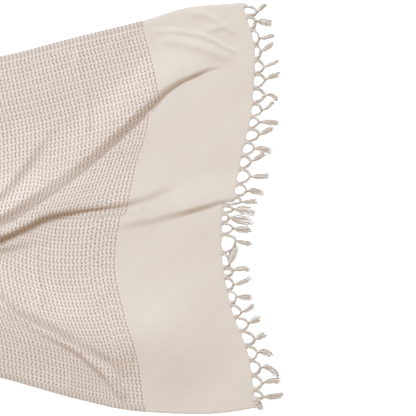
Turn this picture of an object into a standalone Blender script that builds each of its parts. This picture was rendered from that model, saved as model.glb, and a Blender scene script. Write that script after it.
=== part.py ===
"""A woven hammam towel laid out on a surface, drawn together at its waist into soft folds.

One cloth of even thickness, and at each end a row of knotted tassels on a narrow heading.
Blender works in metres, +Z up. The tables and sizes below are in millimetres, and MM turns them
into metres where the meshes are made. The towel's length runs along X, and the end at +X is the
one whose tassels are placed one by one. "Back" is the distance from that end's upper corner
towards -X, "across" is measured along the weft from the upper selvedge, and "along" is measured
along the warp from the end at +X.
"""

import math
import random
from bisect import bisect_right
from collections import namedtuple

import bmesh
import bpy
from mathutils import Vector

MM = 0.001

WIDTH = 1000.0  # flat cloth, selvedge to selvedge
LENGTH = 1700.0  # flat cloth, heading to heading
THICKNESS = 2.0
HEADING = 6.0  # width of the strip that carries a row of tassels
GAP = 0.4  # between the cloth and a heading along the warp, and 0.3 where their edges slant
CORNER_X = 820.4  # X of the upper corner of the end at +X, which centres the towel on the origin
CENTRE_Y = -0.45  # Y of the line that the tables measure Y from, which centres the towel too

# The lines of equal distance along the towel, and how each one lies: where it starts and ends in
# Y, and how far back it is at nine even steps from the upper selvedge to the lower one, before
# the folds push it further back.
Section = namedtuple("Section", "along top bottom back")
SECTIONS = (
    Section(0, 477, -468, (0, -21, -16, 7, 34, 36, 13, -26, -32)),
    Section(125, 468, -482, (121, 94, 92, 118, 150, 153, 130, 94, 83)),
    Section(245, 437, -477, (240, 209, 192, 212, 239, 240, 216, 183, 169)),
    Section(420, 398, -446, (406, 380, 361, 371, 390, 395, 373, 338, 342)),
    Section(590, 357, -400, (565, 547, 528, 527, 545, 549, 537, 509, 502)),
    Section(830, 316, -348, (802, 786, 768, 767, 785, 789, 777, 748, 740)),
    Section(1110, 342, -374, (1081, 1064, 1056, 1068, 1092, 1100, 1090, 1064, 1056)),
    Section(1455, 430, -440, (1430, 1424, 1422, 1424, 1430, 1432, 1428, 1424, 1428)),
    Section(LENGTH, 458, -468, (1672, 1668, 1664, 1660, 1658, 1658, 1661, 1666, 1672)),
)

# The folds from the upper selvedge down. Each crest is a path of points: how far back, Y, the
# height there, and how far the cloth below it is pushed back. The cloth rises to the crest over
# "rise", drops below it over "drop", and "lean" tips the drop under the crest.
Crest = namedtuple("Crest", "back y height push")
Fold = namedtuple("Fold", "rise drop lean crests")
FOLDS = (
    Fold(90, 16, 0, (
        Crest(-12, 412, 0, 0), Crest(239, 346, 0, 0), Crest(386, 241, 0, 0),
        Crest(450, 184, 3, 0), Crest(496, 123, 8, 0), Crest(534, 72, 10, 0),
        Crest(573, 26, 12, 0), Crest(714, -47, 14, 0), Crest(924, -20, 10, 0),
        Crest(1182, 110, 4, 0), Crest(1462, 240, 0, 0),
    )),
    Fold(90, 14, 0, (
        Crest(-21, 342, 0, 0), Crest(63, 335, 2, 5), Crest(171, 288, 9, 34),
        Crest(232, 239, 12, 50), Crest(286, 186, 13, 60), Crest(360, 117, 14, 64),
        Crest(433, 63, 16, 70), Crest(501, 12, 20, 75), Crest(573, -28, 24, 75),
        Crest(714, -103, 28, 75), Crest(924, -75, 20, 50), Crest(1182, 42, 10, 15),
        Crest(1462, 136, 0, 0),
    )),
    Fold(60, 10, 2.5, (
        Crest(12, 118, 0, 0), Crest(129, 72, 0, 4), Crest(178, 50, 2, 10),
        Crest(246, 27, 5, 14), Crest(300, 14, 7, 15), Crest(379, 5, 10, 15),
        Crest(456, -8, 17, 15), Crest(522, -42, 24, 15), Crest(573, -61, 28, 15),
        Crest(714, -122, 32, 15), Crest(924, -110, 24, 8), Crest(1182, -20, 12, 4),
        Crest(1462, 30, 0, 0),
    )),
    Fold(45, 10, 0, (
        Crest(30, 22, 6, 19), Crest(56, 18, 8, 17), Crest(87, 8, 10, 13),
        Crest(129, -2, 10, 9), Crest(182, -17, 8, 5), Crest(281, -44, 3, 0),
        Crest(433, -72, 2, 0), Crest(536, -89, 4, 0), Crest(573, -99, 6, 0),
        Crest(714, -156, 12, 0), Crest(924, -150, 10, 0), Crest(1182, -110, 5, 0),
        Crest(1462, -90, 0, 0),
    )),
    Fold(90, 28, 0, (
        Crest(-12, -415, 0, 0), Crest(222, -425, 0, 0), Crest(262, -420, 0, 0),
        Crest(290, -392, 5, 0), Crest(311, -365, 8, 0), Crest(346, -334, 10, -5),
        Crest(419, -290, 11, -19), Crest(484, -259, 12, -28), Crest(573, -208, 13, -31),
        Crest(714, -188, 18, -25), Crest(924, -200, 12, -10), Crest(1182, -260, 6, 0),
        Crest(1462, -330, 0, 0),
    )),
)
LEAN_HEIGHT = 10.0  # a crest this high leans by its fold's "lean"
MOST_LEAN = 2.0  # and a higher one by no more than this many times as much
PUSH_SPREAD = 0.6  # the push of a fold is felt over its drop and this much of the push below it
LEAST_TAKEN = 0.4  # of its height, a fold takes up at least this much more cloth than lies flat
ALMOST_FLAT = 1.0  # folds whose heights add up to less take up nothing

# How the towel is cut into cells: along its length, in each flat between two folds from the upper
# selvedge down, and down the drop of a fold.
CELLS_ALONG = 38
CLOSER = 1.25  # above 1, the cells are shorter towards the end at +X, where the folds are small
CELLS_BETWEEN = (4, 6, 5, 4, 8, 3)
CELLS_DOWN = 3
TIGHTER = 1.3  # above 1, the cells of a flat are narrower towards the next crest

# The tassels of the end at +X, from the upper selvedge down: where the knot lies (how far ahead
# of the upper corner, and Y), which way the tassel swings from straight ahead, and its length.
Tassel = namedtuple("Tassel", "ahead y swing length")
TASSELS = (
    Tassel(29, 460, 45, 28), Tassel(25, 438, -10, 39), Tassel(33, 397, 13, 36),
    Tassel(37, 367, 30, 32), Tassel(44, 329, 22, 35), Tassel(47, 300, 20, 35),
    Tassel(47, 263, -13, 25), Tassel(39, 229, 33, 33), Tassel(33, 201, -2, 48),
    Tassel(33, 172, 25, 36), Tassel(21, 139, -11, 43), Tassel(14, 110, 30, 40),
    Tassel(13, 74, -2, 45), Tassel(4, 40, -16, 40), Tassel(-10, 15, -1, 43),
    Tassel(-27, -2, -5, 50), Tassel(-38, -22, -13, 58), Tassel(-28, -47, 3, 47),
    Tassel(-22, -76, -15, 37), Tassel(-37, -133, 72, 52), Tassel(-28, -148, 7, 38),
    Tassel(-27, -178, 20, 42), Tassel(-20, -207, -4, 36), Tassel(-9, -245, 29, 36),
    Tassel(9, -268, 24, 28), Tassel(24, -306, 31, 29), Tassel(29, -338, -12, 32),
    Tassel(37, -373, -28, 45), Tassel(41, -409, 9, 43), Tassel(44, -443, 2, 46),
    Tassel(35, -462, -80, 20),
)
ROOT_MARGIN = 8.0  # the first and last roots, in from the selvedges
ROOT_DEPTH = 1.0  # how deep in the heading a root starts
FAR_REACH = 24.0  # how far the far end's knots lie off its heading
FAR_LENGTH = 34.0
FAR_UNEVEN = 3.0  # how much those places and lengths vary
FAR_SEED = 7

LEG_HEIGHT = 3.2
LEG_STRAIGHT = 7.0  # how far a leg runs straight out of the heading before it turns to its knot
LOCK_HEIGHT = 4.6
LOCK_SPREAD = 2.2  # how far the two locks of a tassel part at their tips, to each side
KNOT_HEIGHT = 7.5
KNOT_LENGTH = 9.0
KNOT_RIDGES = (0.65, 1.0, 0.8, 0.95)
KNOT_TURN = math.radians(7)  # a knot sits a little askew on its tassel
PLAIN_WAIST = 5.6  # height of the strands where they meet at the far end, which has no knot's ridges
WAIST_PART = 0.3  # of that height, how far the two strands of a knot lie to each side of its middle
BEND_DROP = 0.6  # of the heading's height, how high a leg still is where it turns to its knot
FAR_SWING = math.radians(22)  # how far the far end's tassels swing from straight ahead, at most
TRIANGLE = ((-0.62, 0.0), (0.62, 0.0), (0.0, 1.0))
TRAPEZIUM = ((-0.65, 0.0), (0.65, 0.0), (0.4, 0.85), (-0.4, 0.85))
# The two strands of a knot lie on the surface, one a hair higher, so that they share no face.
STRAND_FEET = (0.2, 0.5)

CREAM = (0.79, 0.70, 0.60, 1.0)
YARN = (0.72, 0.63, 0.54, 1.0)


def smooth(t):
    """0 to 1 with level ends."""
    t = min(max(t, 0.0), 1.0)
    return t * t * (3.0 - 2.0 * t)


class Curve:
    """A smooth curve through points in rising x that never swings past them."""

    def __init__(self, xs, ys):
        self.xs = xs
        self.ys = ys
        steps = [
            (y1 - y0) / (x1 - x0)
            for x0, x1, y0, y1 in zip(xs, xs[1:], ys, ys[1:])
        ]
        middle = [
            0.0 if a * b <= 0 else 2.0 * a * b / (a + b)
            for a, b in zip(steps, steps[1:])
        ]
        self.slopes = [steps[0], *middle, steps[-1]]

    def place(self, x):
        """The stretch that x falls in, how far along it, and its length."""
        i = min(max(bisect_right(self.xs, x) - 1, 0), len(self.xs) - 2)
        length = self.xs[i + 1] - self.xs[i]
        return i, (x - self.xs[i]) / length, length

    def at(self, x):
        x = min(max(x, self.xs[0]), self.xs[-1])
        i, t, length = self.place(x)
        rise = self.ys[i + 1] - self.ys[i]
        start = self.slopes[i] * length
        end = self.slopes[i + 1] * length
        return self.ys[i] + t * (start + t * (3 * rise - 2 * start - end + t * (start + end - 2 * rise)))

    def slope(self, x):
        return (self.at(x + 1.0) - self.at(x - 1.0)) / 2.0


class Crease:
    """One fold: its crest as a curve in plan, and the height and push along it."""

    def __init__(self, fold):
        self.fold = fold
        backs = [c.back for c in fold.crests]
        self.y = Curve(backs, [c.y for c in fold.crests])
        self.height = Curve(backs, [c.height for c in fold.crests])
        self.push = Curve(backs, [c.push for c in fold.crests])

    def below(self, back, y):
        """(distance below the crest, height of the crest there, way down in plan as (back, y))."""
        foot = back
        for _ in range(2):
            slope = self.y.slope(foot)
            size = math.hypot(1.0, slope)
            down = (slope / size, -1.0 / size)  # a crest that climbs towards -X drops to +back
            gap = (back - foot) * down[0] + (y - self.y.at(foot)) * down[1]
            foot = back - gap * down[0]
        return gap, self.height.at(foot), down

    def lift(self, back, y):
        """(shift in back, shift in y, height) that this fold gives the cloth at a place."""
        gap, height, down = self.below(back, y)
        if gap <= 0.0:
            return 0.0, 0.0, height * smooth(1.0 + gap / self.fold.rise)
        fall = min(gap / self.fold.drop, 1.0)
        lean = self.fold.lean * min(height / LEAN_HEIGHT, MOST_LEAN)
        tip = lean * math.sin(2.0 * math.pi * fall)
        return tip * down[0], tip * down[1], height * (0.5 + 0.5 * math.cos(math.pi * fall))


CREASES = [Crease(fold) for fold in FOLDS]
ALONG = [section.along for section in SECTIONS]
TOP = Curve(ALONG, [section.top for section in SECTIONS])
BOTTOM = Curve(ALONG, [section.bottom for section in SECTIONS])
STATIONS = len(SECTIONS[0].back)
BACKS = [Curve(ALONG, [section.back[i] for section in SECTIONS]) for i in range(STATIONS)]
NUDGE = 0.5  # to the point beside one, from which the surface's slope is taken
FINE = 240  # steps along a line across the towel when its length is measured
MEETING_STEPS = 12  # guesses at where a line meets a crest, each from the one before
MOST_CROSSING = 60.0  # a line that runs nearly along a fold is in its drop for no more than this


class Line:
    """One line across the towel, at a distance along it, that keeps the cloth's true width.

    Where the line is shorter than the cloth is wide, the folds take up what is over, each in
    proportion to its height, and the flats between them keep the cloth's own scale.
    """

    def __init__(self, along):
        self.top = TOP.at(along)
        self.bottom = BOTTOM.at(along)
        self.base = Curve(
            [i / (STATIONS - 1) for i in range(STATIONS)], [curve.at(along) for curve in BACKS]
        )
        self.pushes = []  # (share of the way across where a fold starts, its push, its spread)
        starts = [self.meet(crease) for crease in CREASES]
        self.trace()
        self.folds = []
        heights = [c.height.at(self.back(q)) for c, q in zip(CREASES, starts)]
        total = sum(heights)
        spare = max(WIDTH - self.length, LEAST_TAKEN * total)
        rate = spare / total if total > ALMOST_FLAT else 0.0
        self.scale = self.length / (WIDTH - rate * total)
        taken = 0.0
        for crease, q, height in zip(CREASES, starts, heights):
            start = self.walked(q) / self.scale + taken
            crossing = self.crossing(crease, q) / self.scale
            self.folds.append((start, crossing, rate * height))
            taken += rate * height

    def back(self, q):
        return self.base.at(q) + sum(push * smooth((q - at) / over) for at, push, over in self.pushes)

    def y(self, q):
        return self.top + (self.bottom - self.top) * q

    def meet(self, crease):
        """The share of the way across at which this line meets a crest."""
        q = 0.5
        for _ in range(MEETING_STEPS):
            q = (crease.y.at(self.back(q)) - self.top) / (self.bottom - self.top)
        push = crease.push.at(self.back(q))
        over = (crease.fold.drop + PUSH_SPREAD * abs(push)) / abs(self.bottom - self.top)
        self.pushes.append((q, push, over))
        return q

    def trace(self):
        """Walks the line in plan and keeps the distance walked at each fine step."""
        self.walk = [0.0]
        last = (self.back(0.0), self.y(0.0))
        for i in range(1, FINE + 1):
            here = (self.back(i / FINE), self.y(i / FINE))
            self.walk.append(self.walk[-1] + math.dist(last, here))
            last = here
        self.length = self.walk[-1]

    def walked(self, q):
        i = min(int(q * FINE), FINE - 1)
        return self.walk[i] + (q * FINE - i) * (self.walk[i + 1] - self.walk[i])

    def share(self, walked):
        """The share of the way across after walking this far in plan."""
        i = min(max(bisect_right(self.walk, walked) - 1, 0), FINE - 1)
        return (i + (walked - self.walk[i]) / (self.walk[i + 1] - self.walk[i])) / FINE

    def crossing(self, crease, q):
        """How far this line goes, in plan, while it crosses the drop of a fold."""
        start = self.walked(q)
        for step in range(1, int(MOST_CROSSING)):
            there = self.share(start + step)
            if crease.below(self.back(there), self.y(there))[0] >= crease.fold.drop:
                return step
        return MOST_CROSSING

    def point(self, across):
        """(back, y, z) of the cloth's underside at a distance across it."""
        taken = 0.0
        for start, crossing, taking in self.folds:
            width = crossing + taking
            taken += taking * min(max((across - start) / width, 0.0), 1.0)
        q = self.share((across - taken) * self.scale)
        back, y, z = self.back(q), self.y(q), 0.0
        shifts = [crease.lift(back, y) for crease in CREASES]
        for shift_back, shift_y, height in shifts:
            back += shift_back
            y += shift_y
            z += height
        return back, y, z

    def stops(self):
        """Distances across at which the cloth is cut into cells, closer together at the folds."""
        marks = []
        last = 0.0
        for cells, (start, crossing, taking) in zip(CELLS_BETWEEN, self.folds):
            marks += [last + (start - last) * (1.0 - (1.0 - i / cells) ** TIGHTER) for i in range(cells)]
            end = start + crossing + taking
            marks += [start + (end - start) * i / CELLS_DOWN for i in range(CELLS_DOWN)]
            last = end
        cells = CELLS_BETWEEN[-1]
        return marks + [last + (WIDTH - last) * i / cells for i in range(cells + 1)]

    def corners(self):
        """The points (back, y, z) of the cloth's underside at those stops."""
        return [self.point(across) for across in self.stops()]


def placed(back, y, z):
    """A place in the towel's tables as a point in metres."""
    return ((CORNER_X - back) * MM, (y + CENTRE_Y) * MM, z * MM)


def material(name, colour):
    made = bpy.data.materials.new(name)
    made.use_nodes = True
    shader = made.node_tree.nodes["Principled BSDF"]
    shader.inputs["Base Color"].default_value = colour
    shader.inputs["Roughness"].default_value = 0.95
    shader.inputs["Metallic"].default_value = 0.0
    return made


def clear_scene():
    for thing in list(bpy.data.objects):
        bpy.data.objects.remove(thing)


def new_object(name, mesh, collection, cloth):
    thing = bpy.data.objects.new(name, mesh)
    collection.objects.link(thing)
    mesh.materials.append(cloth)
    mesh.shade_smooth()
    mesh.set_sharp_from_angle(angle=math.radians(60))
    return thing


def sides(along):
    """The cloth's underside and upper side along one line, as two rows of points in metres.

    The upper side is set off along the surface's own normal, which is the same for the cloth and
    for the heading beside it, so their walls stay parallel and apart.
    """
    line, beside = Line(along), Line(along + NUDGE)
    under, upper = [], []
    for across in line.stops():
        corner = Vector(placed(*line.point(across)))
        towards_far = Vector(placed(*beside.point(across))) - corner
        towards_below = Vector(placed(*line.point(across + NUDGE))) - corner
        up = towards_far.cross(towards_below).normalized()
        under.append(corner)
        upper.append(corner + up * THICKNESS * MM)
    return under, upper


def sheet_mesh(name, alongs):
    """The closed sheet of cloth between the first and last of these distances along it."""
    bm = bmesh.new()
    rows = [[[bm.verts.new(point) for point in side] for side in sides(along)] for along in alongs]
    for (near_under, near_upper), (far_under, far_upper) in zip(rows, rows[1:]):
        cells = range(len(near_under) - 1)
        for i in cells:
            bm.faces.new((near_upper[i], far_upper[i], far_upper[i + 1], near_upper[i + 1]))
            bm.faces.new((near_under[i], near_under[i + 1], far_under[i + 1], far_under[i]))
        bm.faces.new((near_under[0], far_under[0], far_upper[0], near_upper[0]))
        bm.faces.new((near_under[-1], near_upper[-1], far_upper[-1], far_under[-1]))
    for under, upper in (rows[0], rows[-1]):
        for i in cells:
            bm.faces.new((under[i], upper[i], upper[i + 1], under[i + 1]))
    bmesh.ops.recalc_face_normals(bm, faces=bm.faces)
    mesh = bpy.data.meshes.new(name)
    bm.to_mesh(mesh)
    bm.free()
    return mesh


def add_cloth(collection):
    first = HEADING + GAP
    span = LENGTH - 2 * first
    alongs = [first + span * (i / CELLS_ALONG) ** CLOSER for i in range(CELLS_ALONG + 1)]
    mesh = sheet_mesh("towel_cloth", alongs)
    new_object("towel_cloth", mesh, collection, material("cream weave", CREAM))


def profile(name, points, collection):
    """A closed outline with its foot on the line that it is swept along."""
    curve = bpy.data.curves.new(name, "CURVE")
    curve.dimensions = "2D"
    spline = curve.splines.new("POLY")
    spline.points.add(len(points) - 1)
    for point, (x, y) in zip(spline.points, points):
        point.co = (x, y, 0.0, 1.0)
    spline.use_cyclic_u = True
    thing = bpy.data.objects.new(name, curve)
    thing.hide_render = True
    thing.display_type = "WIRE"
    collection.objects.link(thing)
    return thing


def swept(name, outline, path, collection):
    """A solid strand: the outline swept along a path of (point, size) pairs."""
    curve = bpy.data.curves.new(name, "CURVE")
    curve.dimensions = "3D"
    curve.twist_mode = "Z_UP"
    curve.bevel_mode = "OBJECT"
    curve.bevel_object = outline
    curve.use_fill_caps = True
    spline = curve.splines.new("POLY")
    spline.points.add(len(path) - 1)
    for point, (place, size) in zip(spline.points, path):
        point.co = (*place, 1.0)
        point.radius = size * MM
    drawn = bpy.data.objects.new(name, curve)
    collection.objects.link(drawn)
    graph = bpy.context.evaluated_depsgraph_get()
    mesh = bpy.data.meshes.new_from_object(drawn.evaluated_get(graph))
    bpy.data.objects.remove(drawn)
    bm = bmesh.new()
    bm.from_mesh(mesh)
    bmesh.ops.remove_doubles(bm, verts=bm.verts, dist=1e-6)
    bmesh.ops.recalc_face_normals(bm, faces=bm.faces)
    bm.to_mesh(mesh)
    bm.free()
    thing = bpy.data.objects.new(name, mesh)
    thing.hide_render = True
    thing.display_type = "WIRE"
    collection.objects.link(thing)
    return thing


def ahead(centre, heading, forward, sideways=0.0, up=0.0):
    """A point (x, y, z) in millimetres from a centre, along a heading and to its left."""
    x, y, z = centre
    c, s = math.cos(heading), math.sin(heading)
    return x + forward * c - sideways * s, y + forward * s + sideways * c, z + up


def metres(path):
    return [((x * MM, y * MM, z * MM), size) for (x, y, z), size in path]


def on_edge(edge, y):
    """The point (x, y, z) of an edge, given as corners from the upper selvedge down, at a Y."""
    for above, below in zip(edge, edge[1:]):
        if above[1] >= y >= below[1]:
            share = (above[1] - y) / (above[1] - below[1])
            back, y, z = (a + (b - a) * share for a, b in zip(above, below))
            return CORNER_X - back, y + CENTRE_Y, z
    raise ValueError(f"no point of the edge is at {y}")


def strand(root, outwards, knot, swing, length, side, waist):
    """A bundle of warp ends: squarely out of the heading, through a knot and on to its tip."""
    hand = (1.0, -1.0)[side]
    foot = STRAND_FEET[side]
    start = ahead(root, outwards, 0.0, 0.0, foot)
    apart = -0.5 * hand * LEG_HEIGHT  # the root's other strand leaves beside this one
    bend = ahead((*root[:2], BEND_DROP * root[2] + foot), outwards, LEG_STRAIGHT, apart)
    centre = (*knot, foot)
    return metres((
        (start, LEG_HEIGHT),
        (bend, LEG_HEIGHT),
        (ahead(centre, swing, 0.0, WAIST_PART * hand * waist), waist),
        (ahead(centre, swing, length, hand * LOCK_SPREAD), LOCK_HEIGHT),
    ))


def knot_path(knot, swing):
    """A knot round the two strands that meet in it, with a ridge for each of its turns."""
    last = len(KNOT_RIDGES) - 1
    return metres([
        (ahead((*knot, 0.0), swing + KNOT_TURN, KNOT_LENGTH * (i / last - 0.5)), KNOT_HEIGHT * size)
        for i, size in enumerate(KNOT_RIDGES)
    ])


def add_fringe(name, collection, helpers, alongs, knots, ridged):
    """A heading along one end of the cloth, with its tassels fused to it.

    Each knot is (x, y, swing, length). One strand of each neighbouring root meets in it.
    """
    waist = LEG_HEIGHT if ridged else PLAIN_WAIST
    heading = new_object(name, sheet_mesh(name, alongs), collection, material(name + " yarn", YARN))
    edge = Line(alongs[0] + math.copysign(ROOT_DEPTH, alongs[-1] - alongs[0])).corners()
    ys = [(above[1] + below[1]) / 2 - CENTRE_Y for above, below in zip(knots, knots[1:])]
    ys = [edge[0][1] - ROOT_MARGIN, *ys, edge[-1][1] + ROOT_MARGIN]
    roots = [on_edge(edge, y) for y in ys]
    outwards = 0.0 if knots[0][0] > roots[0][0] else math.pi
    tassels = bpy.data.collections.new(f"{name} tassels")
    helpers.children.link(tassels)
    three_sided = profile(f"{name}_strand_outline", TRIANGLE, helpers)
    four_sided = profile(f"{name}_knot_outline", TRAPEZIUM, helpers)
    for i, (x, y, swing, length) in enumerate(knots):
        knot = (x, y)
        for side in (0, 1):
            root = i + 1 - side if outwards else i + side
            path = strand(roots[root], outwards, knot, swing, length, side, waist)
            swept(f"{name}_strand_{i}_{side}", three_sided, path, tassels)
        if ridged:
            swept(f"{name}_knot_{i}", four_sided, knot_path(knot, swing), tassels)
    join = heading.modifiers.new("Tassels", "BOOLEAN")
    join.operation = "UNION"
    join.solver = "MANIFOLD"
    join.operand_type = "COLLECTION"
    join.collection = tassels


def near_knots():
    return [
        (CORNER_X + t.ahead, t.y + CENTRE_Y, math.radians(t.swing), t.length) for t in TASSELS
    ]


def far_knots():
    """The far end's knots stand in an even row off its heading, each a little out of place."""
    chance = random.Random(FAR_SEED)
    line = Line(LENGTH)
    count = len(TASSELS)
    step = (WIDTH - 2 * ROOT_MARGIN) / count
    knots = []
    for i in range(count):
        back, y, _ = line.point(ROOT_MARGIN + step * (i + 0.5))
        reach = FAR_REACH + chance.uniform(-1, 1) * FAR_UNEVEN
        swing = math.pi + chance.uniform(-1, 1) * FAR_SWING
        length = FAR_LENGTH + chance.uniform(-1, 1) * FAR_UNEVEN
        knots.append((CORNER_X - back - reach, y + CENTRE_Y, swing, length))
    return knots


def main():
    clear_scene()
    towel = bpy.data.collections.new("hammam towel")
    helpers = bpy.data.collections.new("helpers")
    for collection in (towel, helpers):
        bpy.context.scene.collection.children.link(collection)
    add_cloth(towel)
    near = (0.0, HEADING / 2, HEADING)
    add_fringe("fringe_near", towel, helpers, near, near_knots(), True)
    far = [LENGTH - along for along in near]
    add_fringe("fringe_far", towel, helpers, far, far_knots(), False)


main()
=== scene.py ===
"""The looks of a woven hammam towel that lies on a surface, drawn together at its waist.

The cloth is one thin closed sheet, bent by the same folds as its solid, with finer wrinkles and
scalloped ends. Its weave is a material that follows warp and weft. Each fringe is made of yarns:
necks that leave the cloth, two legs to each knot, and tassels that flare to frayed tips.

Lengths are in millimetres, and MM turns them into metres. "Back" is the distance from the near
end's upper corner towards -X, "across" runs along the weft from the upper selvedge, and "along"
runs along the warp from the near end, the one at +X.
"""

import functools
import math
import random

import bpy
import numpy as np
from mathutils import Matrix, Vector


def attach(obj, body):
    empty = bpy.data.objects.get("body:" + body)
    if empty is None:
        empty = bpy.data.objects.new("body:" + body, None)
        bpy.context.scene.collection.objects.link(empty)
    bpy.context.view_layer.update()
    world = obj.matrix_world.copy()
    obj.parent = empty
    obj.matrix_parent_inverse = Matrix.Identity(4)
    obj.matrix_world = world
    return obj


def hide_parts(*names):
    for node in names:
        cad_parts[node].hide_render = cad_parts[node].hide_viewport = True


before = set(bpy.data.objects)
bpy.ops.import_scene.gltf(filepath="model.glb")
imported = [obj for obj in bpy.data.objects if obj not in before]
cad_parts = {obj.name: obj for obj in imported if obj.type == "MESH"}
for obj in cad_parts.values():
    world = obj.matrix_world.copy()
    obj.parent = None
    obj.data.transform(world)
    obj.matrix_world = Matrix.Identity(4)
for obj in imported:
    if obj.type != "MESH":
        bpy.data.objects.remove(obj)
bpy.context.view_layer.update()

MM = 0.001

WIDTH = 1000.0  # flat cloth, selvedge to selvedge
LENGTH = 1700.0  # flat cloth, end to end
THICKNESS = 1.7
EDGE_THICKNESS = 0.4  # of that, what is left at the edge
EDGE_FADE = 5.0  # how far in it has its full thickness
CORNER_X = 820.4
CENTRE_Y = -0.45

# The lines of equal distance along the towel: how far along, where the line starts and ends in Y,
# and how far back it is at nine even steps from the upper selvedge to the lower one.
SECTIONS = (
    (0, 481, -468, (4, -25, -19, 5, 24, 21, 0, -42, -58)),
    (125, 472, -482, (121, 94, 92, 118, 150, 153, 130, 94, 83)),
    (245, 439, -477, (240, 209, 192, 210, 231, 238, 216, 183, 169)),
    (420, 398, -446, (406, 380, 361, 371, 390, 395, 373, 338, 342)),
    (590, 357, -400, (565, 547, 528, 527, 545, 549, 537, 509, 502)),
    (830, 316, -348, (802, 786, 768, 767, 785, 789, 777, 748, 740)),
    (1110, 342, -374, (1081, 1064, 1056, 1068, 1092, 1100, 1090, 1064, 1056)),
    (1455, 430, -440, (1430, 1424, 1422, 1424, 1430, 1432, 1428, 1424, 1428)),
    (LENGTH, 458, -468, (1672, 1668, 1664, 1660, 1658, 1658, 1661, 1666, 1672)),
)

# The folds from the upper selvedge down: rise, lean, foot, slip, quick and crest. The cloth rises to
# the crest over "rise", "lean" tips the drop below it, and "foot" is how sharply the drop ends where
# the cloth is plain: above 1, most height is lost near its foot, and below 1, near the crest. Each
# point of a crest is how far back, Y, its height, how far the cloth below it is pushed back, and how
# wide the drop is. The push starts at "slip" of the drop, "quick" is the share of it that is felt
# soon after that, and the rest is felt over the flat below.
FOLDS = (
    (90, 0, 0.8, 0.6, 0.66, (
        (-12, 412, 0, 0, 16), (239, 346, 0, 0, 16), (386, 241, 0, 0, 16), (450, 190, 0.3, 0, 18),
        (496, 131, 5, 0, 25), (534, 83, 7, 0, 25), (573, 36, 7.5, 0, 25), (714, -47, 14, 0, 16),
        (924, -20, 10, 0, 16), (1182, 110, 4, 0, 16), (1462, 240, 0, 0, 16),
    )),
    (90, 0, 1.25, 0.72, 0.66, (
        (-21, 350, 0, 0, 12), (50, 338, 0, 0, 12), (62, 336, 1, 1, 12), (85, 331, 3, 8, 12),
        (120, 317, 7, 20, 13), (152, 303.5, 7.8, 29, 14), (190, 281, 9, 40, 18), (232, 245.5, 12, 50, 26),
        (286, 194.5, 12, 60, 25), (360, 129, 9, 64, 26), (433, 74, 8, 70, 30), (501, 29, 10.7, 75, 30),
        (550, -4, 13, 75, 27), (573, -16, 13, 75, 26), (714, -103, 25, 75, 14), (924, -75, 20, 50, 14),
        (1182, 42, 10, 15, 14), (1462, 136, 0, 0, 14),
    )),
    (110, 2.5, 0.85, 1.2, 0.8, (
        (12, 114, 0, 0, 20), (129, 74, 0, 4, 22), (178, 56, 2, 10, 24), (246, 30, 4.7, 16, 26),
        (300, 15, 7, 18, 23), (379, 4, 9.3, 16, 18), (456, -9, 14, 15, 16), (522, -40, 13.5, 15, 13),
        (556, -56, 15, 15, 12), (573, -62, 17, 15, 12), (714, -122, 28, 15, 10), (924, -110, 24, 8, 10),
        (1182, -20, 12, 4, 10), (1462, 30, 0, 0, 10),
    )),
    (80, 0, 0.85, 0.6, 0.9, (
        (30, 23, 3, 31, 13), (56, 20, 4, 23, 13), (87, 11.5, 6, 15, 15), (129, 0, 7, 9, 16),
        (182, -12, 4.2, 5, 20), (220, -22, 3.8, 4, 20), (281, -34, 2, 3, 22), (340, -48, 0.3, 0, 18),
        (480, -74, 0.3, 0, 16), (536, -84, 3.7, 0, 19), (573, -94, 5, 0, 16), (714, -156, 12, 0, 10),
        (924, -150, 10, 0, 10), (1182, -110, 5, 0, 10), (1462, -90, 0, 0, 10),
    )),
    (90, 0, 0.8, 0.6, 0.66, (
        (-12, -395, 0, 0, 18), (222, -400, 0, 0, 18), (262, -400, 0, 0, 18), (285, -375, 2.5, 0, 22),
        (311, -349, 6.5, -4, 24), (367, -317, 8.5, -12, 24), (409, -291, 8.5, -14, 22),
        (461, -262, 7, -18, 22), (526, -229, 5.5, -20, 24), (573, -195, 5, -20, 18),
        (714, -180, 12, -25, 13), (924, -195, 10, -10, 13), (1182, -255, 6, 0, 13), (1462, -325, 0, 0, 13),
    )),
    (28, 0, 0.85, 0.6, 0.66, (
        (-12, -442, 0, 0, 14), (275, -454, 0, 0, 14), (300, -427, 8.5, 0, 14), (318, -398, 11, 0, 14),
        (336, -380, 11, -3, 14), (360, -359, 10.5, -5, 13), (383, -339, 9, -7, 12), (412, -321, 6, -8, 13),
        (465, -294, 3, -10, 12), (524, -262, 1.2, -11, 12), (573, -230, 1, -11, 12), (714, -205, 0, 0, 9),
        (924, -225, 0, 0, 9), (1182, -280, 0, 0, 9), (1462, -350, 0, 0, 9),
    )),
)
WOVEN_FOOT = 0.8  # "foot" of every fold in the woven body
FOOT_FROM = 180.0  # how far back that change starts
FOOT_OVER = 80.0
LEAN_HEIGHT = 10.0  # a crest this high leans by its fold's "lean"
MOST_LEAN = 2.0  # and a higher one by no more than this many times as much
PUSH_OVER = 0.26  # of its drop, over how much a fold's push is felt at first
PUSH_TAIL = 80.0  # and over how much of the flat below the rest of it is
PUSH_ROOM = 2.5  # where lines would cross, that many times the push is added to that way
LEAST_TAKEN = 0.4  # of its height, the least cloth that a fold takes up
ALMOST_FLAT = 1.0  # folds whose heights add up to less take up nothing

# The sheet's cells: rows along it, close together as far as SEEN, and columns in each flat, from
# the upper selvedge down, and in the drop of each fold.
SEEN = 640.0
ROWS_SEEN = 156
ROWS_UNSEEN = 66
COLUMNS_BETWEEN = (18, 30, 22, 14, 34, 8, 14)
COLUMNS_DOWN = 8
FOOT_CELL = 1.5  # width of the cell at the foot of a drop
TIGHTER = 1.3  # above 1, the cells of a flat are narrower towards the next crest

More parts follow.
